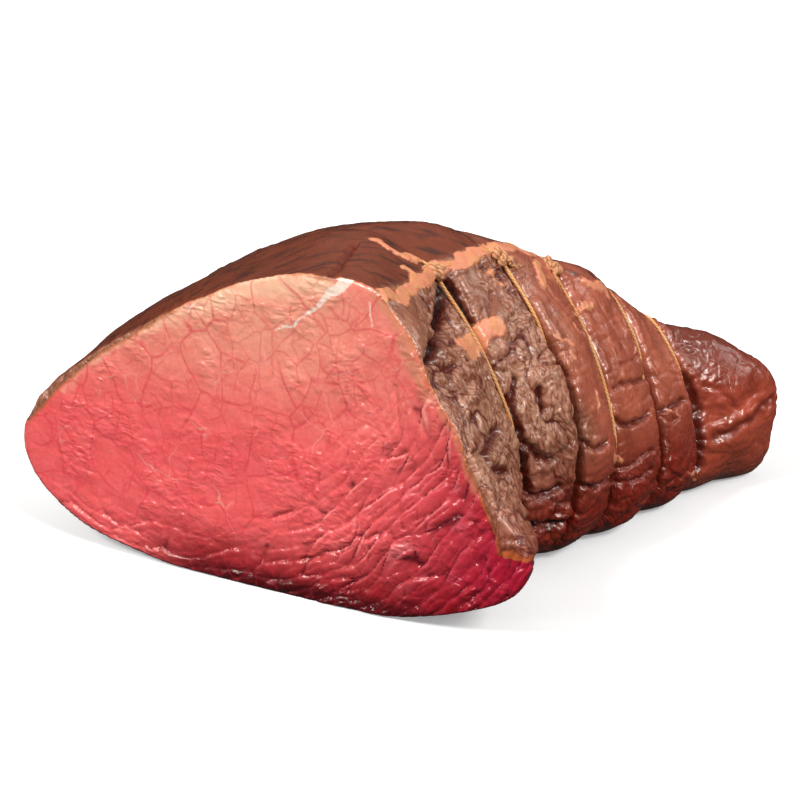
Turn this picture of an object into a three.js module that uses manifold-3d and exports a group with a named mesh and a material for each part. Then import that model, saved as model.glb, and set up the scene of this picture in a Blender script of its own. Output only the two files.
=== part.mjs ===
// A smoked joint of beef: rolled, tied five times with butcher's twine, smoked, then cut across.
// Millimetres, +Z up. It rests on its flat underside at z = 0, the cut face looks along -Y and the
// joint narrows to its tip towards +Y. The origin is under the middle of its bounding box.

import * as THREE from "three";
import { mergeVertices } from "three/addons/utils/BufferGeometryUtils.js";
import Module from "manifold-3d";

const wasm = await Module();
wasm.setup();

// Where the sections below are measured from: the cut face's plane, and a line along the joint that
// is a little above the table.
const origin = new THREE.Vector3(-0.9, -110.2, 3);

// Cross sections from the cut face, past the five ties, to the tip. Each one is a closed outline of
// four corner curves between its outermost points on the left, at the crest, on the right and below.
// A section leans: it stands at y = foot at its foot and at y = head at its crest. From the crest it
// runs straight to its brow, where the right side begins. The four bows are the exponents of the
// corner curves, from 1 for a straight chamfer through 2 for an ellipse to a box:
// crest to left, crest to right, keel to right, keel to left.
const sections = [
  {
    foot: 0, head: 0, keel: 10, bows: [1.32, 1.12, 2.3, 2.35],
    left: [-114, 38], crest: [24, 120], brow: [54, 118.5], right: [104, 32],
  },
  {
    foot: 55, head: 46, keel: 10, bows: [1.5, 1.6, 3.6, 2.4],
    left: [-104, 40], crest: [22, 126], brow: [22, 126], right: [81, 40],
  },
  {
    foot: 76, head: 83, keel: 16, bows: [1.7, 1.58, 3.6, 2.4],
    left: [-86, 40], crest: [34, 120], brow: [34, 120], right: [91, 40],
  },
  {
    foot: 101, head: 113, keel: 26, bows: [1.8, 1.44, 3.6, 2.3],
    left: [-68, 38], crest: [50, 106], brow: [50, 106], right: [94, 34],
  },
  {
    foot: 136, head: 147, keel: 42, bows: [1.9, 1.42, 3.4, 2.2],
    left: [-38, 34], crest: [63, 89], brow: [63, 89], right: [96, 26],
  },
  {
    foot: 168, head: 172, keel: 62, bows: [2, 1.42, 3, 2.1],
    left: [-2, 31], crest: [71, 72], brow: [71, 72], right: [98, 21],
  },
  {
    foot: 192, head: 198, keel: 82, bows: [2, 2, 2.2, 2],
    left: [38, 30], crest: [88, 58.5], brow: [88, 58.5], right: [110, 29],
  },
  {
    foot: 214, head: 215, keel: 96, bows: [2, 2, 2, 2],
    left: [78, 30], crest: [99, 46], brow: [99, 46], right: [114, 30],
  },
];
const firstTie = 1;
const lastTie = 5;

// How far the underside is pressed flat, and how the meat swells between ties and is drawn in at one.
const pressed = 4;
const swellHeight = 3.6;
const swellAtCrest = 0.45;
const swellFullness = 0.75;
const swellBeforeTies = 0.85;
const swellBehindTies = 0.3;
const pinchDepth = 2;
const pinchWidth = 3.4;
const tieClearance = 3.4;
const tieSmoothing = 0.85;
const tieSmoothWidth = 5;

// The cut edge is rounded over, and the tip is a dome on its last section.
const edgeRound = 1.4;
const tipDome = 7;
const domeFullness = 4;

// Butcher's twine, and the gap that is kept between it and the meat.
const twineRadius = 0.8;
const twineGap = 0.3;
const twineSides = 5;

// The mesh: cells along the four corner curves of a section (keel to right, right to crest, crest to
// left, left to keel), and where its rows stand between one section and the next.
const cornerCells = [13, 23, 20, 12];
const cellsPerSide = 17;
const around = 4 * cellsPerSide;
const faceSteps = [0.03, 0.1, 0.22, 0.38, 0.56, 0.74, 0.88, 0.96, 1];
const tieSteps = [0.05, 0.17, 0.36, 0.64, 0.83, 0.95, 1];
const tipSteps = [0.3, 0.6, 0.85, 1];

// Swellings out of the regular form: where their middle is, how far they spread, and their push.
const lumps = [
  { name: "flesh lobe at the foot of the cut", at: [108, 6, 22], spread: 24, push: [15, -1, -1] },
  { name: "fat flap between the third and fourth tie", at: [67, 130, 94], spread: 9, push: [-1, 0, 4.5] },
  { name: "hump between the first and second tie", at: [84, 64, 62], spread: 20, push: [1.5, 0, 0.5] },
  { name: "shoulder behind the nose", at: [-84, 60, 66], spread: 30, push: [-3, 0, 2] },
  { name: "hump on the hidden flank", at: [-40, 116, 60], spread: 24, push: [-4, 2, 2] },
];

// Clefts and folds, as lines over the meat with a half width and a depth. A depth below zero is a
// low ridge.
const clefts = [
  {
    name: "fissure beside the first knot",
    width: 3.4,
    depth: 5,
    path: [[49, 49, 109], [54, 39, 103], [59, 28, 99], [67, 13, 95]],
  },
  {
    name: "slit over the cut",
    width: 3,
    depth: 2.4,
    path: [[24, 32, 125], [31, 6, 119]],
  },
  {
    name: "valley behind the fifth tie",
    width: 4,
    depth: 3.4,
    path: [[84, 177, 58], [93, 176, 44], [99, 174, 30], [101, 172, 14]],
  },
  {
    name: "crease across the tip",
    width: 3.4,
    depth: 3.4,
    path: [[96, 175, 38], [101, 179, 31], [106, 185, 32], [111, 199, 39]],
  },
  {
    name: "fold in the fourth swell",
    width: 3.4,
    depth: 1.8,
    path: [[90, 112, 54], [91, 132, 52]],
  },
  {
    name: "fat ridge",
    width: 7,
    depth: -1.5,
    path: [[45, 19, 113], [47, 52, 113], [49, 68, 114], [54, 89, 111], [59, 117, 101], [69, 134, 92]],
  },
  {
    name: "seam on the hidden flank",
    width: 4,
    depth: 3,
    path: [[-66, 24, 92], [-52, 66, 92], [-30, 104, 84], [4, 150, 66]],
  },
  {
    name: "fold under the hidden flank",
    width: 3.6,
    depth: 2.4,
    path: [[-100, 30, 26], [-84, 84, 22], [-40, 124, 20]],
  },
];

// The meat is uneven all over, in waves with so many radians to the millimetre along X, Y and Z. The
// rough ones are strongest beside the cut face and fade to the second tie.
const waves = [
  { height: 0.55, phase: 0.6, per: [0.059, 0.043, 0], rough: false },
  { height: 0.55, phase: 2.1, per: [0, -0.053, 0.071], rough: false },
  { height: 0.4, phase: 1.3, per: [0, 0.154, 0.111], rough: true },
  { height: 0.4, phase: 0, per: [0.125, 0.091, -0.133], rough: true },
];
const roughUpTo = 90;
const roughGain = 0.8;

// Folds of the cut face, as waves across and up it. They deepen from its upper left to its lower right.
const foldWaves = [
  { height: 0.9, phase: 0.4, per: [0.111, 0, -0.167] },
  { height: 0.5, phase: 1.7, per: [0.043, 0, 0.091] },
];
const foldsFrom = -130;
const foldsTo = 100;
const leastFold = 0.15;

// Knots: where each one sits along its tie, as its distance to the side, and the size of its coils.
const knotPlaces = [47, 54, 59, 46, 52];
const coilRadius = 1.7;
const coilTilts = [-0.12, 0.04, 0.16];
const coilSpacing = 1.9;
const coilSides = 4;
const coilCells = 8;
const tailLength = 5.5;
const tailRise = 0.45;
const tailSlant = 0.5;
const tailHeight = 2.2;

// Numbers this close together are the same, and so are points this close.
const tiny = 1e-6;
const samePoint = 1e-3;

const { lerp, clamp } = THREE.MathUtils;

// A value carried smoothly through the list, which it passes at whole numbers of s.
function carried(values, s) {
  const last = values.length - 1;
  const i = clamp(Math.floor(s), 0, last - 1);
  const t = s - i;
  const before = values[Math.max(i - 1, 0)];
  const from = values[i];
  const to = values[i + 1];
  const after = values[Math.min(i + 2, last)];
  const leaving = (to - before) / 2;
  const arriving = (after - from) / 2;
  const square = t * t;
  const cube = square * t;
  return (
    (2 * cube - 3 * square + 1) * from +
    (cube - 2 * square + t) * leaving +
    (3 * square - 2 * cube) * to +
    (cube - square) * arriving
  );
}

// The measures of the section at s, between two listed ones as well.
function sectionAt(s) {
  const pick = (read) => carried(sections.map(read), s);
  return {
    foot: pick((one) => one.foot),
    head: pick((one) => one.head),
    left: new THREE.Vector2(pick((one) => one.left[0]), pick((one) => one.left[1])),
    crest: new THREE.Vector2(pick((one) => one.crest[0]), pick((one) => one.crest[1])),
    brow: new THREE.Vector2(pick((one) => one.brow[0]), pick((one) => one.brow[1])),
    right: new THREE.Vector2(pick((one) => one.right[0]), pick((one) => one.right[1])),
    keel: new THREE.Vector2(pick((one) => one.keel), -pressed),
    bows: [0, 1, 2, 3].map((corner) => pick((one) => one.bows[corner])),
  };
}

// A quarter of an outline from a point where it is level to a point where it is upright, as points
// evenly spaced along it. The last point is left to the next quarter. A straight stretch that leads
// up to the quarter can come first.
function quarterPoints(level, upright, bow, cells, reversed, lead = []) {
  const fine = 64;
  const path = [...lead];
  for (let step = 0; step <= fine; step++) {
    const turn = (Math.PI / 2) * (step / fine);
    const across = Math.sin(turn) ** (2 / bow);
    const up = Math.cos(turn) ** (2 / bow);
    path.push(new THREE.Vector2(lerp(level.x, upright.x, across), lerp(upright.y, level.y, up)));
  }
  if (reversed) path.reverse();
  const lengths = [0];
  for (let i = 1; i < path.length; i++) lengths.push(lengths[i - 1] + path[i].distanceTo(path[i - 1]));
  const points = [];
  const whole = lengths[lengths.length - 1];
  let at = 0;
  for (let i = 0; i < cells; i++) {
    const wanted = (whole * i) / cells;
    while (lengths[at + 1] <= wanted) at++;
    const part = (wanted - lengths[at]) / (lengths[at + 1] - lengths[at]);
    points.push(path[at].clone().lerp(path[at + 1], part));
  }
  return points;
}

// The outline of a section, from the keel up the right side, over the crest and down the left side.
function outlineOf(section) {
  const { keel, right, brow, crest, left, bows } = section;
  return [
    ...quarterPoints(keel, right, bows[2], cornerCells[0], false),
    ...quarterPoints(brow, right, bows[1], cornerCells[1], true),
    ...quarterPoints(crest, left, bows[0], cornerCells[2], false, [brow]),
    ...quarterPoints(keel, left, bows[3], cornerCells[3], true),
  ];
}

// Where the section at s stands, halfway up.
function standingAt(s) {
  const { foot, head } = sectionAt(s);
  return (foot + head) / 2;
}

// How far along the joint, in millimetres, s is from its nearest tie.
function distanceToTie(s) {
  const nearest = clamp(Math.round(s), firstTie, lastTie);
  return Math.abs(standingAt(s) - standingAt(nearest));
}

// How far the meat stands out between two ties, less what a tie draws in.
function swellAt(s) {
  const between = Math.max(Math.sin(Math.PI * (s - Math.floor(s))), 0) ** swellFullness;
  const atFace = swellBeforeTies * clamp(3 * s, 0, 1);
  const strength = s < firstTie ? atFace : s > lastTie ? swellBehindTies : 1;
  const pinch = pinchDepth * Math.exp(-((distanceToTie(s) / pinchWidth) ** 2));
  return swellHeight * strength * between - pinch;
}

function waveAt(wave, point) {
  return wave.height * Math.sin(point.dot(new THREE.Vector3(...wave.per)) + wave.phase);
}

// How far the meat stands out or in at a point because it is nowhere quite even.
function unevenness(point) {
  const roughness = 1 + roughGain * clamp(2 - (2 * point.y) / roughUpTo, 0, 1);
  return waves.reduce((sum, wave) => sum + (wave.rough ? roughness : 1) * waveAt(wave, point), 0);
}

// How far the cut face stands out at a point of it.
function faceFolds(point) {
  const share = clamp((point.x - point.z - foldsFrom) / (foldsTo - foldsFrom), leastFold, 1);
  return share * foldWaves.reduce((sum, wave) => sum + waveAt(wave, point), 0);
}

// The shortest way from a point to a line of several straight stretches.
function distanceToPath(point, path) {
  let nearest = Infinity;
  for (let i = 0; i + 1 < path.length; i++) {
    const line = new THREE.Line3(new THREE.Vector3(...path[i]), new THREE.Vector3(...path[i + 1]));
    const foot = line.closestPointToPoint(point, true, new THREE.Vector3());
    nearest = Math.min(nearest, foot.distanceTo(point));
  }
  return nearest;
}

// A ring of points round the joint at s, on the surface of the meat.
function ringAt(s) {
  const section = sectionAt(s);
  const outline = outlineOf(section);
  const swell = swellAt(s);
  const floor = tieClearance * Math.exp(-((distanceToTie(s) / pinchWidth) ** 2)) - origin.z;
  const evenness = 1 - tieSmoothing * Math.exp(-((distanceToTie(s) / tieSmoothWidth) ** 2));
  return outline.map((corner, i) => {
    const before = outline[(i + around - 1) % around];
    const after = outline[(i + 1) % around];
    const outward = new THREE.Vector3(after.y - before.y, 0, before.x - after.x).normalize();
    const height = clamp(corner.y / section.crest.y, 0, 1);
    const y = lerp(section.foot, section.head, height);
    const point = new THREE.Vector3(corner.x, y, corner.y);
    let out = swell * lerp(1, swellAtCrest, height) + evenness * unevenness(point);
    for (const cleft of clefts) {
      const share = cleft.depth > 0 ? evenness : 1;
      out -= share * cleft.depth * Math.exp(-((distanceToPath(point, cleft.path) / cleft.width) ** 2));
    }
    const base = point.clone();
    point.addScaledVector(outward, out);
    for (const lump of lumps) {
      const away = base.distanceTo(new THREE.Vector3(...lump.at)) / lump.spread;
      point.addScaledVector(new THREE.Vector3(...lump.push), Math.exp(-(away ** 2)));
    }
    point.z = Math.max(point.z, floor);
    return point.add(origin);
  });
}

// The same ring, lifted squarely off the surface.
function liftedRing(s, lift) {
  const ring = ringAt(s);
  const before = ringAt(s - tieSteps[0]);
  const after = ringAt(s + tieSteps[0]);
  return ring.map((point, i) => {
    const lengthways = new THREE.Vector3().subVectors(after[i], before[i]);
    const round = new THREE.Vector3().subVectors(ring[(i + 1) % around], ring[(i + around - 1) % around]);
    return point.clone().addScaledVector(lengthways.cross(round).normalize(), lift);
  });
}

// How far round a square of half side 1 a point on it is, as a part of the whole way, from the middle
// of its lower side: to the right first, then up.
function squareTurn(x, z) {
  const edge = 1 - tiny;
  if (z < -edge) return ((x + 8) % 8) / 8;
  if (x > edge) return (2 + z) / 8;
  if (z > edge) return (4 - x) / 8;
  return (6 - z) / 8;
}

function onRing(ring, turn) {
  const exact = turn * ring.length;
  const i = Math.floor(exact + tiny) % ring.length;
  const part = clamp(exact - i, 0, 1);
  return ring[i].clone().lerp(ring[(i + 1) % ring.length], part);
}

function middleOf(ring) {
  return ring.reduce((sum, one) => sum.add(one), new THREE.Vector3()).divideScalar(ring.length);
}

// The ring of the cut edge, drawn in so that the edge is rounded over.
function roundedEdge(ring) {
  const middle = middleOf(ring);
  return ring.map((point) => {
    const inward = new THREE.Vector3().subVectors(middle, point).normalize();
    const place = point.clone().addScaledVector(inward, edgeRound);
    place.z = point.z;
    return place;
  });
}

// The meat: a box's grid drawn over the rings, its front side on the cut face, its back on the tip.
function beefGeometry() {
  const rows = [0];
  const lastSection = sections.length - 1;
  for (let i = 0; i < lastSection; i++) {
    const steps = i === 0 ? faceSteps : i === lastSection - 1 ? tipSteps : tieSteps;
    for (const step of steps) rows.push(i + step);
  }
  const rings = rows.map((s) => ringAt(s));
  rings[0] = roundedEdge(rings[0]);
  const middles = rings.map(middleOf);
  const lastRow = rows.length - 1;
  const box = new THREE.BoxGeometry(2, lastRow, 2, cellsPerSide, lastRow, cellsPerSide);
  box.deleteAttribute("normal");
  box.deleteAttribute("uv");
  const geometry = mergeVertices(box);
  const position = geometry.getAttribute("position");
  const place = new THREE.Vector3();
  for (let i = 0; i < position.count; i++) {
    place.fromBufferAttribute(position, i);
    const row = Math.round(place.y + lastRow / 2);
    const reach = Math.max(Math.abs(place.x), Math.abs(place.z));
    const turn = squareTurn(place.x / (reach || 1), place.z / (reach || 1));
    place.lerpVectors(middles[row], onRing(rings[row], turn), reach);
    const inset = 1 - reach ** domeFullness;
    if (row === 0) place.y -= faceFolds(place) * inset;
    if (row === lastRow) place.y += tipDome * inset;
    position.setXYZ(i, place.x, place.y, place.z);
  }
  return geometry;
}

// A closed path through the points of a ring, which meets each of them at an even step.
class RingPath extends THREE.Curve {
  constructor(points) {
    super();
    this.points = points;
  }

  getPoint(t, target = new THREE.Vector3()) {
    return target.copy(onRing(this.points, ((t % 1) + 1) % 1));
  }

  getPointAt(t, target) {
    return this.getPoint(t, target);
  }

  getTangentAt(t, target = new THREE.Vector3()) {
    const half = 0.5 / this.points.length;
    return target.subVectors(this.getPoint(t + half), this.getPoint(t - half)).normalize();
  }
}

function solidOf(geometry) {
  const bare = geometry.clone();
  bare.deleteAttribute("normal");
  bare.deleteAttribute("uv");
  const merged = mergeVertices(bare, samePoint);
  return new wasm.Manifold(
    new wasm.Mesh({
      numProp: 3,
      vertProperties: merged.getAttribute("position").array,
      triVerts: new Uint32Array(merged.index.array),
    }),
  );
}

function geometryOf(solid) {
  const mesh = solid.getMesh();
  const geometry = new THREE.BufferGeometry();
  geometry.setAttribute("position", new THREE.BufferAttribute(mesh.vertProperties, 3));
  geometry.setIndex(new THREE.BufferAttribute(mesh.triVerts, 1));
  geometry.computeVertexNormals();
  return geometry;
}

// How far round its tie a knot sits.
function knotTurn(tie) {
  const ring = ringAt(tie);
  const wanted = knotPlaces[tie - firstTie] + origin.x;
  let best = 0;
  ring.forEach((point, i) => {
    const better = Math.abs(point.x - wanted) < Math.abs(ring[best].x - wanted);
    if (point.z > sections[tie].crest[1] / 2 && (better || ring[best].z < point.z / 2)) best = i;
  });
  return best / around;
}

// A knot: coils of twine round the loop, side by side, and two cut ends lying on the meat.
function knotSolids(tie) {
  const turn = knotTurn(tie);
  const loop = liftedRing(tie, twineGap + twineRadius);
  const seat = onRing(loop, turn);
  const out = onRing(liftedRing(tie, twineGap + 2 * twineRadius), turn).sub(seat).normalize();
  const along = onRing(loop, turn + 1 / around).sub(seat).normalize();
  const side = new THREE.Vector3().crossVectors(out, along);
  const solids = [];
  coilTilts.forEach((tilt, i) => {
    const coil = new THREE.TorusGeometry(coilRadius, twineRadius, coilSides, coilCells);
    const axis = along.clone().multiplyScalar(Math.cos(tilt)).addScaledVector(side, Math.sin(tilt));
    coil.applyQuaternion(new THREE.Quaternion().setFromUnitVectors(new THREE.Vector3(0, 0, 1), axis));
    const place = seat.clone().addScaledVector(out, coilRadius);
    place.addScaledVector(along, (i - (coilTilts.length - 1) / 2) * coilSpacing);
    coil.translate(place.x, place.y, place.z);
    solids.push(solidOf(coil));
  });
  for (const way of [-1, 1]) {
    const heading = side.clone().multiplyScalar(way).addScaledVector(out, tailRise);
    heading.addScaledVector(along, way * tailSlant).normalize();
    const tail = new THREE.CylinderGeometry(twineRadius, twineRadius, tailLength, twineSides);
    tail.applyQuaternion(new THREE.Quaternion().setFromUnitVectors(new THREE.Vector3(0, 1, 0), heading));
    const place = seat.clone().addScaledVector(out, tailHeight).addScaledVector(heading, tailLength / 2);
    tail.translate(place.x, place.y, place.z);
    solids.push(solidOf(tail));
  }
  return solids;
}

// A loop of twine lying in its groove all the way round, with its knot.
function twineGeometry(tie) {
  const path = new RingPath(liftedRing(tie, twineGap + twineRadius));
  const loop = new THREE.TubeGeometry(path, around, twineRadius, twineSides, true);
  return geometryOf(knotSolids(tie).reduce((sum, one) => sum.add(one), solidOf(loop)));
}

const group = new THREE.Group();
const beefMaterial = new THREE.MeshStandardMaterial({ color: 0x7a3a2a, roughness: 0.5, metalness: 0 });
const twineMaterial = new THREE.MeshStandardMaterial({ color: 0xd9a066, roughness: 0.85, metalness: 0 });

const beef = new THREE.Mesh(beefGeometry(), beefMaterial);
beef.name = "beef";
group.add(beef);

for (let tie = firstTie; tie <= lastTie; tie++) {
  const twine = new THREE.Mesh(twineGeometry(tie), twineMaterial);
  twine.name = `twine_${tie}`;
  group.add(twine);
}

export default group;
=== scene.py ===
"""A smoked joint of beef, cut across and tied with butcher's twine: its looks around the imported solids.

Lengths are in millimetres unless a name says otherwise. Places on the joint are in the joint's own
frame: x to the right across the cut face, y back from it, and z up from a line just above the table.
Places that are read from the photograph are pixels of its 800 by 800 frame, right and down.
"""

import math

import bmesh
import bpy
import numpy as np
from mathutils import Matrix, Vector
from mathutils.bvhtree import BVHTree


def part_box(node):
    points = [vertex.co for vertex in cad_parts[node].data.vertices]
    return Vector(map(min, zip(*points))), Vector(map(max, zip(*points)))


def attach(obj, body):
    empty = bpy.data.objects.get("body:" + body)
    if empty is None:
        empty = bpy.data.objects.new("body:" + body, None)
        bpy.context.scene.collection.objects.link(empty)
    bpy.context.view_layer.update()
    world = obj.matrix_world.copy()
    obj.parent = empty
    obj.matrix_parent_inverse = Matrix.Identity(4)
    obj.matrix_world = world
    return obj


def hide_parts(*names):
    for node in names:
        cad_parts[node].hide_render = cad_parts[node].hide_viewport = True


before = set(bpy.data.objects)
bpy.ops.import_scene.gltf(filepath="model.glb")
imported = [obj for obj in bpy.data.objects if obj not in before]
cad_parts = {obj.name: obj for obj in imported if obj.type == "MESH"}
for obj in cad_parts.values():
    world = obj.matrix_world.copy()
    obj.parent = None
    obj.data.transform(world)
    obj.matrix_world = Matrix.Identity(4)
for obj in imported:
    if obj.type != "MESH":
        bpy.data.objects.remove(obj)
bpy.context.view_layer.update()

METRE = 1000.0
ORIGIN = np.array([-0.9, -110.2, 3.0])

PHOTO_SIDE = 800
LENS = 102.0
SENSOR = 36.0
AZIMUTH = math.radians(32)
ELEVATION = math.radians(17.5)
DISTANCE = 900.0
TARGET = np.array([-0.9, -11.2, 46.3])

# The ties, from the cut face to the tip: where each plane crosses the table and the crest, the
# crest's height, how far to the right its knot sits, and the height on the right side below which
# the twine has sunk into the meat.
TIES = [
    (55, 46, 126, 47, 50),
    (76, 83, 120, 54, 82),
    (101, 113, 106, 59, 30),
    (136, 147, 89, 46, 57),
    (168, 172, 72, 52, 42),
]
SMOOTH_LEVELS = 2
VOXEL = 1.1
LOOP_RAYS = 720
PIXEL_STEP = 6

TWINE_RADIUS = 0.74
TWINE_LIFT = 0.5
TWINE_SUNK = -3.6
TWINE_BURIED = -1.9
# How deep the twine's groove is, how much deeper where the twine has sunk, and over what height it
# sinks.
GROOVE = 1.6
GROOVE_SUNK = 2.6
SINKING = 26
TWINE_PITCH = 5.4
TWINE_SIDES = 15
TWINE_STEP = 0.75
FIBRE_RADIUS = 0.16
FIBRE_SIDES = 5
FIBRE_LENGTH = 2.2
KNOT_TURNS = 2.1
KNOT_REACH = 2.3
KNOT_LIFT = 1.1
KNOT_WIDTH = 6.4
KNOT_ROPE = 1.55
KNOT_STEPS = 90
# How far to the left of its knot the crust covers each loop on the top.
CRUST_OVER_TWINE = 95

# Creases in the crust as the photograph shows them: half width, depth, and the line in pixels. The deeper
# ones also get darker painted shade.
CREASES = [
    (2.1, 5.5, [(441, 288), (441, 306), (437, 326), (434, 342), (432, 356)]),
    (1.4, 2.4, [(426, 359), (436, 362), (446, 368), (455, 363)]),
    (1.7, 4.5, [(449, 284), (460, 304), (470, 324)]),
    (1.0, 1.4, [(492, 293), (491, 306), (489, 322)]),
    (1.8, 3.2, [(499, 430), (490, 439), (486, 453), (494, 469), (508, 471)]),
    (1.0, 1.4, [(469, 453), (485, 454)]),
    (2.0, 3.6, [(507, 400), (516, 420), (521, 445), (524, 470), (525, 491)]),
    (1.3, 2.6, [(515, 380), (513, 400), (506, 405)]),
    (1.4, 3.0, [(539, 391), (543, 409)]),
    (1.4, 2.4, [(526, 443), (540, 459), (554, 459)]),
    (1.4, 2.5, [(526, 494), (540, 498), (563, 487)]),
    (1.4, 2.5, [(519, 514), (535, 528), (563, 523)]),
    (1.1, 1.9, [(614, 388), (624, 384), (639, 381), (646, 377)]),
    (0.8, 1.0, [(622, 365), (639, 357)]),
    (1.3, 2.2, [(615, 420), (626, 425), (639, 422), (649, 413)]),
    (1.3, 2.2, [(581, 441), (596, 450), (608, 443)]),
    (1.3, 2.4, [(578, 484), (596, 488), (614, 477)]),
    (1.0, 1.6, [(617, 468), (631, 465), (653, 450)]),
    (1.0, 1.6, [(617, 482), (635, 481), (653, 470)]),
    (1.2, 2.2, [(660, 411), (674, 406), (683, 399)]),
    (0.9, 1.2, [(660, 416), (671, 422), (678, 418)]),
    (1.3, 0.8, [(706, 386), (721, 391), (731, 406), (740, 411)]),
    (2.4, 1.9, [(715, 438), (735, 431), (753, 420), (765, 406), (774, 399)]),
    (2.7, 2.9, [(683, 377), (692, 395), (696, 413), (698, 431), (698, 466)]),
    (1.2, 2.2, [(356, 243), (344, 258), (331, 275)]),
]

# Fat on the crust as the photograph shows it: half width, and the line in pixels.
FAT = [
    (3.4, [(386, 294), (398, 298), (412, 287), (428, 274), (444, 264)]),
    (3.3, [(450, 264), (470, 259), (484, 251), (500, 246), (512, 246)]),
    (1.7, [(512, 246), (530, 255), (545, 262), (560, 268)]),
    (3.2, [(538, 266), (543, 276), (544, 284)]),
    (1.8, [(376, 240), (388, 248), (401, 255), (418, 261)]),
    (1.9, [(406, 268), (415, 274)]),
    (4.6, [(466, 350), (474, 338), (486, 330), (494, 328)]),
    (1.1, [(572, 313), (582, 308), (592, 305)]),
    (1.0, [(557, 338), (564, 340), (572, 346)]),
    (1.3, [(597, 392), (599, 408)]),
    (2.6, [(586, 282), (598, 285), (605, 291)]),
    (1.3, [(493, 272), (502, 286)]),
    (1.0, [(571, 352), (576, 360)]),
    (0.9, [(575, 326), (581, 334)]),
    (0.9, [(663, 336), (668, 346)]),
    (0.8, [(672, 358), (676, 368)]),
    (0.8, [(651, 364), (655, 372)]),
    (0.9, [(670, 410), (678, 416)]),
    (1.0, [(688, 473), (692, 480)]),
    (0.9, [(613, 455), (618, 462)]),
]

# Smooth swells in the crust as the photograph shows them: half width, and the line in pixels.
SWELLS = [
    (5.0, [(404, 296), (412, 318), (418, 342)]),
    (6.5, [(470, 278), (486, 296), (492, 312)]),
    (4.0, [(536, 312), (552, 340)]),
]

# The line that parts the smooth top from the flank, in pixels.
RIDGE = [(386, 292), (412, 288), (444, 266), (484, 250), (512, 246), (545, 262), (580, 282), (603, 290)]

# Seams of white fat in the cut face: half width, and the line in pixels.
SEAMS = [
    (0.8, [(353, 280), (345, 284)]),
    (2.0, [(344, 283), (333, 291)]),
    (1.1, [(333, 291), (318, 305)]),
    (0.6, [(318, 305), (307, 314), (293, 325)]),
    (0.35, [(293, 325), (275, 329)]),
    (0.25, [(369, 303), (372, 326)]),
    (0.3, [(198, 300), (188, 311)]),
]

# Pale fat under the top edge of the cut face: half width, and the line in pixels.
CREAM = [
    (1.5, [(62, 387), (102, 353), (133, 336)]),
    (3.0, [(133, 336), (163, 318), (188, 306)]),
    (6.5, [(200, 300), (230, 288), (255, 280), (281, 276), (306, 277), (326, 284)]),
]

# The dried strip inside the right edge of the cut face: half width, and the line in pixels.
HALO = [
    (3.0, [(378, 292), (392, 312), (405, 342), (416, 372)]),
    (2.4, [(416, 372), (426, 396)]),
    (1.5, [(437, 405), (453, 432), (464, 460), (475, 490)]),
]

# Creases that stand out in the cut face: half width, depth, and the line in pixels. They also get painted
# shade.
CUT_CREASES = [
    (0.8, 0.9, [(395, 387), (400, 440), (382, 468)]),
    (0.7, 1.3, [(273, 518), (291, 512)]),
    (0.8, 1.5, [(300, 560), (311, 559), (326, 554)]),
    (0.8, 1.3, [(262, 559), (267, 546)]),
    (0.8, 1.5, [(352, 582), (347, 592)]),
    (0.7, 1.2, [(364, 541), (377, 534)]),
    (0.6, 1.0, [(317, 488), (319, 475)]),
]

# The sky: from how far up it brightens, up to where, and how bright it is at each. Then the lights:
# azimuth from the front of the cut to its right, elevation, how wide the light is, and its strength.
# Then their colour, the white floor's side in metres, and the light that it gives off, which keeps
# its shadows pale.
SKY = (0.2, 1.0, 0.05, 0.55)
SUNS = [(-22, 42, 16, 2.2), (-30, 14, 10, 0.7), (66, 38, 16, 2.25), (132, 32, 22, 0.5)]
WARM = (1.0, 0.94, 0.87)
FLOOR_SIDE = 8.0
FLOOR_GLOW = 0.3

# The fine parallel lines in the crust: how far apart they are, the way across them, and how far they
# bend.
RIPPLE = 1.5
RIPPLE_WAY = (0.0, 0.9, 0.42)
RIPPLE_BEND = 5.0

# The edges of the cut face in the photograph's pixels: along its top, and down its right side.
TOP_EDGE = [(25, 425), (60, 386), (102, 351), (133, 334), (163, 316), (186, 303), (190, 301), (204, 297),
            (230, 284), (255, 276), (281, 271), (306, 271), (329, 279), (352, 276), (370, 284)]
RIGHT_EDGE = [(383, 289), (396, 307), (409, 331), (420, 358), (431, 385), (444, 409), (455, 428),
              (463, 446), (468, 468), (479, 489), (487, 511), (495, 532), (500, 552)]

# The middle of the arcs that the cut muscle's folds lie along, and the arc that turns their angle
# into a length. Then its overlapping sheets: width, length, depth and seed, the widest first. Then
# the size of the smooth bundles where it is not folded.
FOLD_CENTRE = (-47, 130)
FOLD_ARC = 105
SHEETS = [(6.0, 19, 1.25, 31), (3.4, 8, 0.7, 35)]
BUNDLE = 12.5
# The nets of fine lines on the cut face: how wide the large and the small cells are.
NETS = (17, 9.5)
# The flesh that wraps round the lower right corner of the cut: how far right it starts, its top and
# how far back it reaches.
LOBE_START = 84
LOBE_TOP = 31
LOBE_BACK = 29

# The crust's wrinkles: size, depth and seed. How wrinkled it is, from 0 to 1: on the flanks beside
# the cut, behind them, near the table, on the tip, on the smooth top, and on the far sides.
WRINKLES = [(8.5, 3.0, 61), (4.2, 1.3, 66), (2.1, 0.5, 69)]
ROUGH_FLANK = 0.9
ROUGH_REAR = 0.22
ROUGH_FOOT = 0.6
ROUGH_TIP = 0.27
ROUGH_TOP = 0.12
ROUGH_AWAY = 0.6

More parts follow.
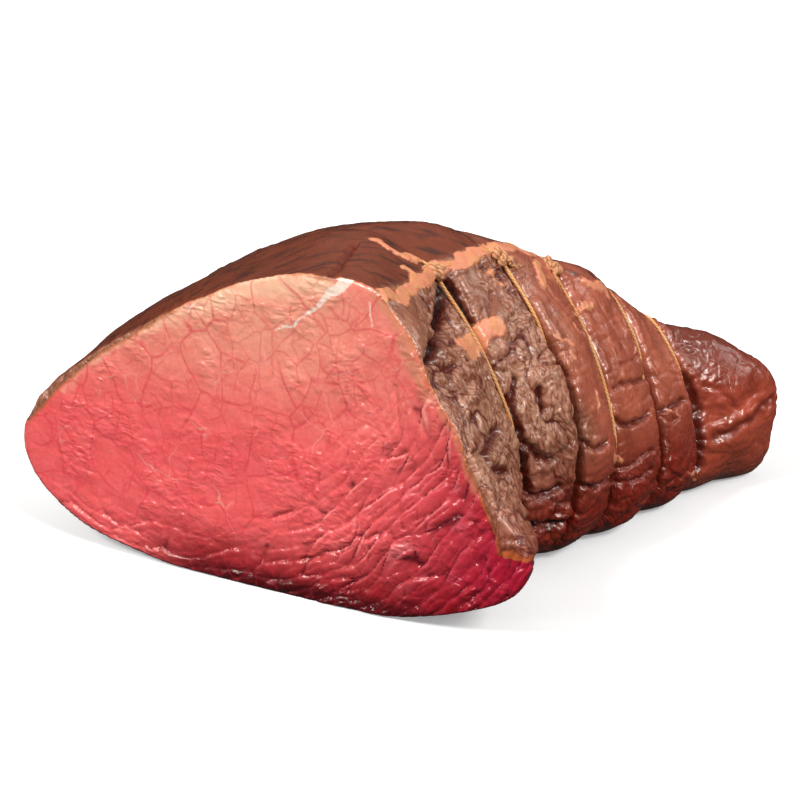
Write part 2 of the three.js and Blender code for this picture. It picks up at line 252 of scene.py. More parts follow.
# Broad colours of the crust and of the cut, as linear red, green and blue.
FLANK_BROWN = (0.38, 0.158, 0.094)
REAR_BROWN = (0.52, 0.135, 0.077)
TOP_BROWN = (0.17, 0.028, 0.006)
# Darker and redder near the table: the meat's own deep red there, and painted shade.
FOOT_RED_AND_SHADE = (0.21, 0.010, 0.004)
TIP_DARK = (0.15, 0.014, 0.006)
TIP_RED = (0.54, 0.10, 0.055)
CUT_RED = (0.85, 0.112, 0.124)
CUT_PALE = (0.87, 0.33, 0.245)
CUT_CRIMSON = (0.40, 0.008, 0.031)
# Painted shade on the cut face: darker towards the table, darkest at it, and where the face turns under.
CUT_LOW_SHADE = (0.26, 0.004, 0.01)
CUT_FOOT_SHADE = (0.06, 0.001, 0.003)
CUT_UNDER_SHADE = (0.12, 0.005, 0.01)
LOBE_RED = (0.50, 0.06, 0.055)

RANGE = ("From Min", "From Max", "To Min", "To Max")


def hashed(cells, seed):
    """Numbers from 0 to 1, one for each cell, that look random and are the same in each run."""
    value = cells[..., 0] * 374761393 + cells[..., 1] * 668265263 + cells[..., 2] * 1442695041
    value = (value + seed * 974634777) & 0xFFFFFFFF
    value = ((value ^ (value >> 13)) * 1274126177) & 0xFFFFFFFF
    value = ((value ^ (value >> 15)) * 739982445) & 0xFFFFFFFF
    return (value ^ (value >> 16)) / 4294967296.0


def noise(points, size, seed):
    """Smooth noise from about -1 to 1, with lumps of about this size."""
    grid = points / size
    cell = np.floor(grid).astype(np.int64)
    part = grid - cell
    fade = part**3 * (part * (part * 6 - 15) + 10)
    total = np.zeros(len(points))
    for corner in np.ndindex(2, 2, 2):
        at = cell + corner
        weight = np.where(corner, fade, 1 - fade).prod(-1)
        for axis in range(3):
            slope = hashed(at, seed * 3 + axis) * 2 - 1
            total += weight * slope * (part[:, axis] - corner[axis])
    return total * 1.7


def stirred(points, size, reach, seed):
    """The points, each moved by smooth noise."""
    moves = [noise(points, size, seed + axis) for axis in range(3)]
    return points + reach * np.stack(moves, -1)


def spots(grid, seed):
    """How far the nearest and the second nearest of scattered spots are, in cells of a flat grid, and
    how far past the nearest one a point is, in the grid's first direction."""
    home = np.floor(grid).astype(np.int64)
    first = np.full(len(grid), 9.0)
    second = np.full(len(grid), 9.0)
    past = np.zeros(len(grid))
    for right, up in np.ndindex(3, 3):
        at = np.stack([home[:, 0] + right - 1, home[:, 1] + up - 1, 0 * home[:, 0]], 1)
        spot = at[:, :2] + np.stack([hashed(at, seed), hashed(at, seed + 1)], 1)
        far = np.linalg.norm(spot - grid, axis=1)
        past = np.where(far < first, grid[:, 0] - spot[:, 0], past)
        second = np.minimum(second, np.maximum(first, far))
        first = np.minimum(first, far)
    return first, second, past


def rise(values, low, high):
    """0 up to low, 1 from high, and smooth between them."""
    part = np.clip((values - low) / (high - low), 0, 1)
    return part * part * (3 - 2 * part)


def bump(values, width):
    """1 at 0, and less on both sides."""
    return np.exp(-((values / width) ** 2))


def blend(one, other, share):
    """From one to the other by each point's share, for numbers or for colours."""
    share = np.asarray(share)
    if np.ndim(one) == 2:
        share = share[:, None]
    return one + (other - one) * share


def unit(values):
    """Ways at length 1."""
    return values / np.linalg.norm(values, axis=-1, keepdims=True)


def travelled(line):
    """How far along a line each of its points is."""
    return np.concatenate([[0], np.cumsum(np.linalg.norm(np.diff(line, axis=0), axis=1))])


def from_path(points, path, reach):
    """How far each point is from a line, up to this reach. Further points get a large number."""
    best = np.full(len(points), 1e3)
    inside = np.all((points > path.min(0) - reach) & (points < path.max(0) + reach), axis=1)
    near = points[inside]
    least = best[inside]
    for start, end in zip(path[:-1], path[1:]):
        along = end - start
        share = np.clip((near - start) @ along / max(along @ along, 1e-9), 0, 1)
        least = np.minimum(least, np.linalg.norm(near - start - share[:, None] * along, axis=1))
    best[inside] = least
    return best


def to_metres(places):
    """Places on the joint as metres in the row's frame."""
    return (np.asarray(places, float) + ORIGIN) / METRE


def to_places(metres):
    return np.asarray(metres, float) * METRE - ORIGIN


def camera_axes():
    """The photograph's camera: to its right, up, and back from what it sees."""
    level = math.cos(ELEVATION)
    back = np.array([math.sin(AZIMUTH) * level, -math.cos(AZIMUTH) * level, math.sin(ELEVATION)])
    right = np.array([math.cos(AZIMUTH), math.sin(AZIMUTH), 0.0])
    return right, np.cross(back, right), back


class Meat:
    """The meat's smooth form, to find places on it."""

    def __init__(self, mesh):
        faces = [tuple(face.vertices) for face in mesh.polygons]
        self.tree = BVHTree.FromPolygons([v.co for v in mesh.vertices], faces)

    def seen_at(self, pixel):
        """The place on the meat that a pixel of the photograph shows, or nothing off the meat."""
        right, up, back = camera_axes()
        scale = SENSOR / LENS / PHOTO_SIDE
        across, down = (np.array(pixel) - PHOTO_SIDE / 2) * scale
        ray = right * across - up * down - back
        start = (TARGET + back * DISTANCE) / METRE
        hit = self.tree.ray_cast(Vector(start), Vector(ray).normalized())[0]
        return None if hit is None else to_places(hit)

    def path(self, pixels):
        """A line over the meat through these pixels."""
        places = []
        for start, end in zip(pixels[:-1], pixels[1:]):
            count = math.ceil(math.dist(start, end) / PIXEL_STEP)
            for share in np.linspace(0, 1, count + 1):
                places.append(self.seen_at(np.add(start, np.subtract(end, start) * share)))
        return np.array([place for place in places if place is not None])

    def resting(self, place, lift):
        """The nearest place on the meat, lifted off it, and the way out there."""
        near, out, _, _ = self.tree.find_nearest(Vector(to_metres(place)))
        return to_places(near) + lift * np.array(out), np.array(out)

    def loop(self, tie, lifted=True):
        """The closed line round the meat of a tie's twine, and the ways out."""
        foot, head, crest = TIES[tie][:3]
        lean = (head - foot) / crest
        low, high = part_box(f"twine_{tie + 1}")
        middle = to_places((low + high) / 2)
        middle[1] = foot + lean * middle[2]
        places = []
        outs = []
        for turn in np.linspace(0, 2 * math.pi, LOOP_RAYS, endpoint=False):
            way = Vector((math.cos(turn), lean * math.sin(turn), math.sin(turn))).normalized()
            hit, out, _, _ = self.tree.ray_cast(Vector(to_metres(middle)), way)
            places.append(to_places(hit))
            outs.append(out)
        places = rounded_off(np.array(places), 6)
        outs = unit(rounded_off(np.array(outs), 6))
        if not lifted:
            return places, outs
        covered, low = hidden_twine(tie, places)
        deep = TWINE_SUNK + 0.8 * noise(places, 7, 331 + tie)
        lift = blend(blend(TWINE_LIFT, deep, low), TWINE_BURIED, covered * (outs[:, 2] > 0.3))
        places = places + rounded_off(lift, 4)[:, None] * outs
        places[:, 2] = np.maximum(places[:, 2], TWINE_RADIUS - ORIGIN[2])
        return places, outs


def hidden_twine(tie, places):
    """From 0 to 1 at these places: how covered a loop is where the meat faces up, and how sunk it is."""
    knot, sunk = TIES[tie][3:]
    left = knot - 4 - places[:, 0]
    covered = rise(left, 0, 5) * rise(CRUST_OVER_TWINE - left, 0, 12)
    low = rise(sunk + SINKING / 2 - places[:, 2], 0, SINKING)
    return covered, low * (places[:, 0] > knot)


def rounded_off(values, passes):
    """A closed line's values, each drawn towards its neighbours."""
    for _ in range(passes):
        values = (np.roll(values, 1, 0) + 2 * values + np.roll(values, -1, 0)) / 4
    return values


def placed(name, data):
    """A new object in the scene."""
    made = bpy.data.objects.new(name, data)
    bpy.context.scene.collection.objects.link(made)
    return made


def smooth_copy(node):
    """A fine, even mesh over a node's solid, with the steps between its facets smoothed away."""
    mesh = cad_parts[node].data.copy()
    work = bmesh.new()
    work.from_mesh(mesh)
    bmesh.ops.remove_doubles(work, verts=work.verts, dist=1e-6)
    limits = {"angle_face_threshold": 1.0, "angle_shape_threshold": 1.0}
    bmesh.ops.join_triangles(work, faces=work.faces, **limits)
    work.to_mesh(mesh)
    work.free()
    mesh.materials.clear()
    holder = placed("holder", mesh)
    holder.modifiers.new("round", "SUBSURF").levels = SMOOTH_LEVELS
    even = holder.modifiers.new("even", "REMESH")
    even.mode = "VOXEL"
    even.voxel_size = VOXEL / METRE
    graph = bpy.context.evaluated_depsgraph_get()
    fine = bpy.data.meshes.new_from_object(holder.evaluated_get(graph))
    bpy.data.objects.remove(holder)
    work = bmesh.new()
    work.from_mesh(fine)
    edges = set()
    for face in work.faces:
        cut = to_places(face.calc_center_median())[1] < 3
        right = face.normal.x > 0.1 and face.normal.z > -0.5
        if cut or right:
            edges.update(face.edges)
    bmesh.ops.subdivide_edges(work, edges=list(edges), cuts=1, use_grid_fill=True)
    axes = {f"use_axis_{axis}": True for axis in "xyz"}
    bmesh.ops.smooth_vert(work, verts=work.verts, factor=0.5, **axes)
    work.to_mesh(fine)
    work.free()
    return fine


def read_vectors(source, name):
    values = np.zeros(len(source) * 3)
    source.foreach_get(name, values)
    return values.reshape(-1, 3)


class Surface:
    """The fields over the meat's surface that its relief and its colours are made from."""

    def __init__(self, meat, points, normals):
        self.meat = meat
        self.p = points
        self.n = normals
        self.past = np.stack([self.past_tie(*tie[:3]) for tie in TIES], 1)
        self.near_tie = np.abs(self.past).min(1)
        self.cut = self.cut_side()
        self.on_cut = rise(self.cut, -0.6, 0.6)
        self.flank = rise(normals[:, 0], -0.1, 0.45)
        self.top = rise(normals[:, 2], 0.45, 0.8) * (1 - 0.7 * self.flank)
        self.tip = rise(self.past[:, 4], -2, 8)
        ridge = meat.path(RIDGE)
        over = rise(np.interp(points[:, 1], ridge[:, 1], ridge[:, 0]) + 1 - points[:, 0], 0, 5)
        self.plateau = over * rise(normals[:, 2], 0.35, 0.6) * (1 - self.tip)
        self.swell = self.marked(SWELLS, [(9, 1.5)], 151)

    def past_tie(self, foot, head, crest):
        """How far each point is behind a tie's plane."""
        lean = (head - foot) / crest
        return (self.p[:, 1] - foot - lean * self.p[:, 2]) / math.hypot(1, lean)

    def cut_side(self):
        """Above 0 on the cut face, and on the flesh that wraps round its lower right corner. It also
        keeps how far each point is inside the face's rim."""
        x, y, z = self.p.T
        facing = np.minimum((-self.n[:, 1] - 0.86) * 12, 8 - y)
        below = 3.5 * rise(-self.n[:, 2], 0.2, 0.9) * rise(x, -80, 0)
        face = np.maximum(1.0 - y, facing) + below
        lobe = np.minimum(np.minimum(LOBE_TOP - z, LOBE_BACK - y), x - LOBE_START)
        ragged = 1.2 * noise(self.p, 5, 11) + 0.6 * noise(self.p, 2.2, 12)
        top = self.meat.path(TOP_EDGE)
        right = self.meat.path(RIGHT_EDGE)[::-1]
        under = np.where(x < top[-1, 0], np.interp(x, top[:, 0], top[:, 2]) - z, 99)
        inside = np.interp(z, right[:, 2], right[:, 0]) - x
        self.from_rim = np.where(z > LOBE_TOP, np.clip(np.minimum(under, inside), -5, 10), 10)
        inside = np.maximum(inside, LOBE_TOP - z)
        face = np.minimum(np.minimum(face, under), inside)
        uneven = 4.5 * noise(self.p, 13, 13) + 2.0 * ragged
        return np.maximum(face + 0.3 * ragged, lobe + uneven)

    def marked(self, table, sizes, seed):
        """Above 0 inside the bands that a table gives, with uneven edges."""
        shaken = self.p
        for size, reach in sizes:
            shaken = stirred(shaken, size, reach, seed)
        field = np.full(len(self.p), -50.0)
        for width, pixels in table:
            path = self.meat.path(pixels)
            field = np.maximum(field, width - from_path(shaken, path, width + 6))
        return field

    def furrowed(self, relief, dark, table, reach, seed):
        """The relief and the painted shade in creases, with a table's creases pressed in."""
        shaken = stirred(self.p, 4, reach, seed)
        for width, depth, pixels in table:
            far = from_path(shaken, self.meat.path(pixels), 5 * width)
            relief = relief - depth * bump(far, width)
            dark = np.maximum(dark, bump(far, 1.3 * width) * min(1.3, depth / 3.6))
        return relief, dark

    def folding(self):
        """How folded the cut face is: least in its upper left."""
        x, _, z = self.p.T
        strength = 0.1 + 0.9 * rise((x - 0.9 * z + 40) / 100, 0.0, 0.75)
        return np.maximum(strength, 0.6 * rise(26 - z, 0, 18))

    def muscle(self):
        """The cut face's bundles and folds: relief, and how deep in a crease a point is, which is painted
        as shade.
        It also keeps where the sheets' lips get a painted highlight."""
        flat = stirred(stirred(self.p * (1, 0, 1), 24, 4.0, 21), 4, 0.5, 25)
        broken = rise(noise(flat, 9, 28), -0.35, 0.3)
        right, up = (flat[:, [0, 2]] - FOLD_CENTRE).T
        reach = np.hypot(right, up)
        along = np.arctan2(up, right) * FOLD_ARC
        strength = self.folding()
        relief = np.zeros(len(flat))
        dark = 0 * relief
        self.lip_highlight = 0 * relief
        deepest = SHEETS[0][2]
        for width, length, depth, seed in SHEETS:
            first, second, past = spots(np.stack([reach / width, along / length], 1), seed)
            gap = second - first
            dome = 1 - (1 - np.clip(gap / 0.9, 0, 1)) ** 2
            sheet = np.clip(-past, -0.6, 0.6)
            valley = 0.35 + 0.35 * np.exp(-9 * gap)
            relief += depth * ((0.3 + 0.5 * broken) * sheet + 0.5 * dome - valley)
            under = rise(past, -0.3, 0.15)
            crease = (0.2 + 0.8 * broken) * np.exp(-9 * gap) + 0.25 * np.exp(-2.5 * gap)
            dark = np.maximum(dark, crease * depth / deepest * under)
            edge = bump(gap - 0.14, 0.12) * depth / deepest * (1 - under)
            self.lip_highlight = np.maximum(self.lip_highlight, edge * strength * (0.3 + 0.7 * broken))
        first, second, _ = spots(flat[:, [0, 2]] / BUNDLE, 41)
        bundles = 0.2 * (0.25 - np.exp(-3 * (second - first)))
        relief = blend(bundles, relief, strength)
        return self.furrowed(relief, strength * dark, CUT_CREASES, 0.5, 45)

    def wrinkling(self):
        """How wrinkled the crust is: most on the flanks beside the cut, and least on the smooth top. The
        sides that face away from the photograph are wrinkled too."""
        early = 1 - rise(self.past[:, 1], -4, 8)
        value = blend(ROUGH_REAR, ROUGH_FLANK, early * np.maximum(self.flank, 0.5))
        value = np.maximum(value, ROUGH_FOOT * rise(45 - self.p[:, 2], 0, 25))
        value = blend(value, ROUGH_TIP, self.tip)
        value = blend(value, ROUGH_TOP, self.plateau)
        away = rise(0.1 - self.n @ camera_axes()[2], 0, 0.35)
        value = np.maximum(value, ROUGH_AWAY * away * (1 - 0.5 * self.tip))
        return value * (1 - 0.75 * rise(self.swell, -2, 2))

    def crust(self):
        """The crust's wrinkles: relief, and how deep in a crease a point is, which is painted as shade.
        """
        rough = self.wrinkling()
        shaken = stirred(stirred(self.p, 16, 6.0, 51), 5, 1.2, 55)
        upright = shaken / (1, 1, 2.4)
        draped = shaken / (1, 2.6, 1)
        low = rise(50 - self.p[:, 2], 0, 22)
        relief = np.zeros(len(low))
        dark = 0 * relief
        for size, depth, seed in WRINKLES:
            fold = blend(np.abs(noise(upright, size, seed)), np.abs(noise(draped, size, seed + 1)), low)
            relief += rough * depth * (fold**0.8 - 0.3)
            dark = np.maximum(dark, 0.26 * rough * depth * bump(fold, 0.075))
        drawn = np.exp(-self.near_tie / 7)
        pulls = np.abs(noise(stirred(self.p, 12, 2.0, 71) / (4.2, 15, 4.2), 1, 72))
        near = (0.12 + 0.75 * drawn) * (1 - 0.8 * self.plateau)
        relief += near * (1.5 * pulls**0.8 - 0.55)
        dark = np.maximum(dark, 0.7 * bump(pulls, 0.06) * near)
        relief += 0.9 * noise(self.p, 30, 81) + 0.8 * rise(self.swell, -4, 3)
        return self.furrowed(relief, dark, CREASES, 0.9, 91)

    def streaks(self):
        """How dark the streaks in the crust are: most on the smooth top."""
        x, y, z = self.p.T
        skewed = np.stack([(0.8 * x + 0.6 * y) / 15, (0.8 * y - 0.6 * x) / 2.6, z / 4], 1)
        streak = rise(noise(stirred(skewed, 2, 0.4, 141), 1, 145), 0.0, 0.6)
        return streak * np.maximum(0.1, np.maximum(0.3 * self.top, 0.85 * self.plateau))

    def from_twine(self):
        """How far each point is from the nearest loop, and where the twine is covered or has sunk."""
        best = np.full(len(self.p), 99.0)
        covered = np.zeros(len(self.p))
        deep = np.zeros(len(self.p))
        for tie in range(len(TIES)):
            line, _ = self.meat.loop(tie, lifted=False)
            close = np.abs(self.past[:, tie]) < 14
            path = np.vstack([line, line[:1]])[::4]
            best[close] = np.minimum(best[close], from_path(self.p[close], path, 14))
            over, low = hidden_twine(tie, self.p[close])
            covered[close] = np.maximum(covered[close], over * rise(self.n[close, 2], 0.2, 0.4))
            deep[close] = np.maximum(deep[close], low)
        return best, covered, deep

    def tones(self):
        """The broad colours of the crust and of the cut, before the finer marks. Low down and under the
        cut face they hold painted shade.
        """
        x, _, z = self.p.T
        behind = rise(self.past[:, 1] + 9 * noise(self.p, 18, 161), -9, 20)
        low = rise(60 - z, 0, 42)
        over = np.maximum(self.plateau, self.top) * (1 - 0.5 * behind)
        crust = blend(np.tile(FLANK_BROWN, (len(x), 1)), REAR_BROWN, behind)
        tip = blend(np.tile(TIP_DARK, (len(x), 1)), TIP_RED, rise(62 - z, 0, 35))
        crust = blend(crust, tip, self.tip)
        crust = blend(crust, TOP_BROWN, over)
        # Darker and redder near the table: partly the meat's deep red, partly painted shade.
        crust = blend(crust, FOOT_RED_AND_SHADE, 0.97 * low**1.15 * (1 - 0.8 * self.tip))
        height = z / 118
        right = (x + 0.25 * z + 20) / 130
        cut = np.tile(CUT_RED, (len(x), 1))
        cut = blend(cut, CUT_PALE, rise(height, 0.4, 0.95) * (1 - 0.5 * rise(x, 15, 60)))
        cut = blend(cut, CUT_CRIMSON, rise(right - 0.75 * height, 0.2, 0.85))
        # Painted shade: the cut face darker low down and darkest at the table.
        cut = blend(cut, CUT_LOW_SHADE, 0.85 * rise(26 - z, 0, 22) * rise(x, -75, -20))
        cut = blend(cut, CUT_FOOT_SHADE, 0.92 * rise(7 - z, 0, 6) * rise(x, -60, -10))
        cut = blend(cut, LOBE_RED, 0.75 * rise(self.p[:, 1], 2, 10))
        # Painted shade where the cut face turns under.
        cut = blend(cut, CUT_UNDER_SHADE, 0.85 * rise(-self.n[:, 2], 0.1, 0.9))
        return crust, cut


def put_numbers(mesh, name, values):
    field = mesh.attributes.new(name, "FLOAT", "POINT")
    field.data.foreach_set("value", values.astype(np.float32))


def put_colours(mesh, name, values):
    rgba = np.ones((len(values), 4), np.float32)
    rgba[:, :3] = values
    field = mesh.attributes.new(name, "FLOAT_COLOR", "POINT")
    field.data.foreach_set("color", rgba.ravel())


def add_piece(name, mesh, material, nodes):
    """A piece of the joint that stands for CAD nodes."""
    mesh.materials.append(material)
    piece = placed(name, mesh)
    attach(piece, "root")
    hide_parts(*nodes)


def make_meat():
    mesh = smooth_copy("beef")
    meat = Meat(mesh)
    points = to_places(read_vectors(mesh.vertices, "co"))
    normals = read_vectors(mesh.vertex_normals, "vector")
    surface = Surface(meat, points, normals)

    cut_relief, cut_shade = surface.muscle()
    crust_relief, crust_shade = surface.crust()
    fat = surface.marked(FAT, [(7, 2.2), (2.6, 0.8)], 101)
    relief = blend(crust_relief, cut_relief, surface.on_cut)
    # The painted shade of creases, on the cut and on the crust.
    dark = blend(crust_shade, cut_shade, surface.on_cut)
    on_fat = rise(fat, -0.3, 1.0) * (1 - surface.on_cut)
    relief = blend(relief, 0.6 + 0.15 * relief, on_fat)

    twine, covered, deep = surface.from_twine()
    open_groove = 1 - covered
    banks = (0.3 + 0.5 * open_groove) * bump(twine - 4.2, 2.6)
    relief = relief * (1 - 0.85 * bump(twine, 2.6) * (1 - surface.on_cut))
    relief = relief - open_groove * GROOVE * bump(twine, 1.5) + banks
    relief = relief - deep * GROOVE_SUNK * bump(twine, 1.9)
    # Painted shade along the twine's grooves, deeper where the twine has sunk.
    groove = 0.35 * bump(twine, 1.6) + 0.65 * deep * bump(twine, 2.3)
    dark = np.maximum(dark, groove * open_groove)
    relief = relief * (1 - 0.6 * bump(surface.cut, 1.6))
    relief = np.minimum(relief, 1.6) * (1 - 0.9 * rise(-normals[:, 2], 0.5, 0.95))
    moved = points + relief[:, None] * normals
    moved[:, 2] = np.maximum(moved[:, 2], -ORIGIN[2])
    mesh.vertices.foreach_set("co", to_metres(moved).ravel())

    crust_tone, cut_tone = surface.tones()
    put_colours(mesh, "crust_tone", crust_tone)
    put_colours(mesh, "cut_tone", cut_tone)
    fields = {
        "cut": surface.cut,
        "fat": fat,
        "seam": surface.marked(SEAMS, [(5, 0.8)], 111),
        "cream": surface.marked(CREAM, [(9, 2.0), (3, 0.8)], 121),
        "halo": surface.marked(HALO, [(9, 1.0)], 131),
        # Painted shade in creases and grooves.
        "dark": dark,
        "rough": surface.wrinkling(),
        "streak": surface.streaks(),
        "fold": surface.folding() * surface.on_cut,
        "lip_highlight": surface.lip_highlight,
        "from_rim": surface.from_rim,
    }
    for name, values in fields.items():
        put_numbers(mesh, name, values)
    mesh.shade_smooth()
    add_piece("meat", mesh, beef_paint(), ["beef"])
    return meat


class Strands:
    """A mesh of twine and fibres, as tubes along lines."""

    def __init__(self, seed):
        self.vertices = []
        self.faces = []
        self.plies = []
        self.knots = []
        self.draw = np.random.default_rng(seed)

    def tube(self, line, outs, radii, closed=False, twisted=True, knot=0.0):
        """A tube along a line. Twisted ones have three plies, and 1 marks those of a knot."""
        if closed:
            along = np.roll(line, -1, 0) - np.roll(line, 1, 0)
        else:
            along = np.gradient(line, axis=0)
        along = unit(along)
        side = unit(np.cross(along, outs))
        up = np.cross(side, along)
        sides = TWINE_SIDES if twisted else FIBRE_SIDES
        travel = travelled(line)
        pitch = TWINE_PITCH
        if closed:
            total = travel[-1] + np.linalg.norm(line[0] - line[-1])
            pitch = total / round(total / TWINE_PITCH)
        first = len(self.vertices)
        for ring, radius in enumerate(np.broadcast_to(radii, len(line))):
            for corner in range(sides):
                angle = 2 * math.pi * corner / sides
                ply = abs(math.cos(1.5 * (angle - 2 * math.pi * travel[ring] / pitch)))
                reach = radius * (0.74 + 0.26 * ply) if twisted else radius
                way = math.cos(angle) * side[ring] + math.sin(angle) * up[ring]
                self.vertices.append(line[ring] + reach * way)
                self.plies.append(ply if twisted else 0.8)
                self.knots.append(knot)
        rings = len(line)
        for ring in range(rings if closed else rings - 1):
            here = first + ring * sides
            there = first + (ring + 1) % rings * sides
            for corner in range(sides):
                after = (corner + 1) % sides
                self.faces.append((here + corner, here + after, there + after, there + corner))
        if not closed:
            last = len(self.vertices) - sides
            self.faces.append(tuple(reversed(range(first, first + sides))))
            self.faces.append(tuple(range(last, last + sides)))

    def fibres(self, place, way, out, count, spread):
        """Loose fibres that fan out from a place."""
        for _ in range(count):
            aim = unit(way + spread * self.draw.normal(size=3))
            curl = 0.5 * self.draw.normal(size=3)
            reach = FIBRE_LENGTH * self.draw.uniform(0.5, 1.2)
            shares = np.linspace(0, 1, 7)[:, None]
            line = place + reach * (shares * aim + shares**2 * 0.5 * (curl - 0.6 * out * shares))
            radii = FIBRE_RADIUS * (1 - 0.6 * shares[:, 0])
            self.tube(line, np.tile(out + 0.01 * aim, (7, 1)), radii, twisted=False)

    def mesh(self, name):
        made = bpy.data.meshes.new(name)
        made.from_pydata([tuple(v) for v in to_metres(self.vertices)], [], self.faces)
        put_numbers(made, "ply", np.array(self.plies))
        put_numbers(made, "knot", np.array(self.knots))
        made.shade_smooth()
        return made


def even_steps(line, outs, gap, closed):
    """A line and its ways out at even steps."""
    if closed:
        line = np.vstack([line, line[:1]])
        outs = np.vstack([outs, outs[:1]])
    travel = travelled(line)
    count = round(travel[-1] / gap)
    stops = np.linspace(0, travel[-1], count, endpoint=not closed)

    def at_stops(values):
        return np.stack([np.interp(stops, travel, part) for part in values.T], 1)

    return at_stops(line), unit(at_stops(outs))


def add_knot(strands, meat, place, along, out, turn):
    """A knot of a few turns over the loop, with two cut and frayed ends."""
    side = np.cross(along, out)
    one = math.cos(turn) * along + math.sin(turn) * side
    two = math.cos(turn) * side - math.sin(turn) * along
    shares = np.linspace(0, 1, KNOT_STEPS)
    angles = 2 * math.pi * KNOT_TURNS * shares + turn
    reach = KNOT_REACH * (1 + 0.12 * np.sin(5.3 * angles + turn))
    line = place + (KNOT_LIFT + 0.9 * np.sin(angles))[:, None] * out
    line = line + (reach * np.cos(angles))[:, None] * one
    line = line + (KNOT_WIDTH * (shares - 0.5) + 0.25 * np.sin(2.6 * angles))[:, None] * two
    strands.tube(line, np.tile(out + 0.2 * two, (len(line), 1)), KNOT_ROPE, knot=1.0)
    for sign, start in ((-1, line[0]), (1, line[-1])):
        way = sign * (0.8 * two + 0.6 * one) + 0.2 * strands.draw.normal(size=3)
        length = strands.draw.uniform(3.5, 5.5)
        route = []
        for share in np.linspace(0, 1, 8):
            spot = start + way * length * share
            resting, _ = meat.resting(spot, 0.6)
            route.append(blend(spot, resting, share**0.7))
        route, outs = even_steps(np.array(route), np.tile(out, (8, 1)), TWINE_STEP, False)
        strands.tube(route, outs, TWINE_RADIUS, knot=0.6)
        strands.fibres(route[-1], unit(route[-1] - route[-2]), out, 10, 0.4)


def make_twine(meat):
    paint = twine_paint()
    for tie, (_, _, _, knot_x, _) in enumerate(TIES):
        strands = Strands(300 + tie)
        line, outs = meat.loop(tie)
        line, outs = even_steps(line, outs, TWINE_STEP, True)
        radii = TWINE_RADIUS * (1 + 0.08 * noise(line, 4, 311 + tie))
        strands.tube(line, outs, radii, closed=True)
        high = line[:, 2] > line[:, 2].mean()
        at = np.where(high, np.abs(line[:, 0] - knot_x), 1e3).argmin()
        along = unit(line[at + 1] - line[at - 1])
        add_knot(strands, meat, line[at], along, outs[at], 0.5 + 0.7 * tie)
        for spot in strands.draw.integers(0, len(line), 14):
            way = unit(line[(spot + 1) % len(line)] - line[spot])
            strands.fibres(line[spot], way, outs[spot], 2, 0.3)
        add_piece(f"twine_loop_{tie + 1}", strands.mesh("twine"), paint, [f"twine_{tie + 1}"])


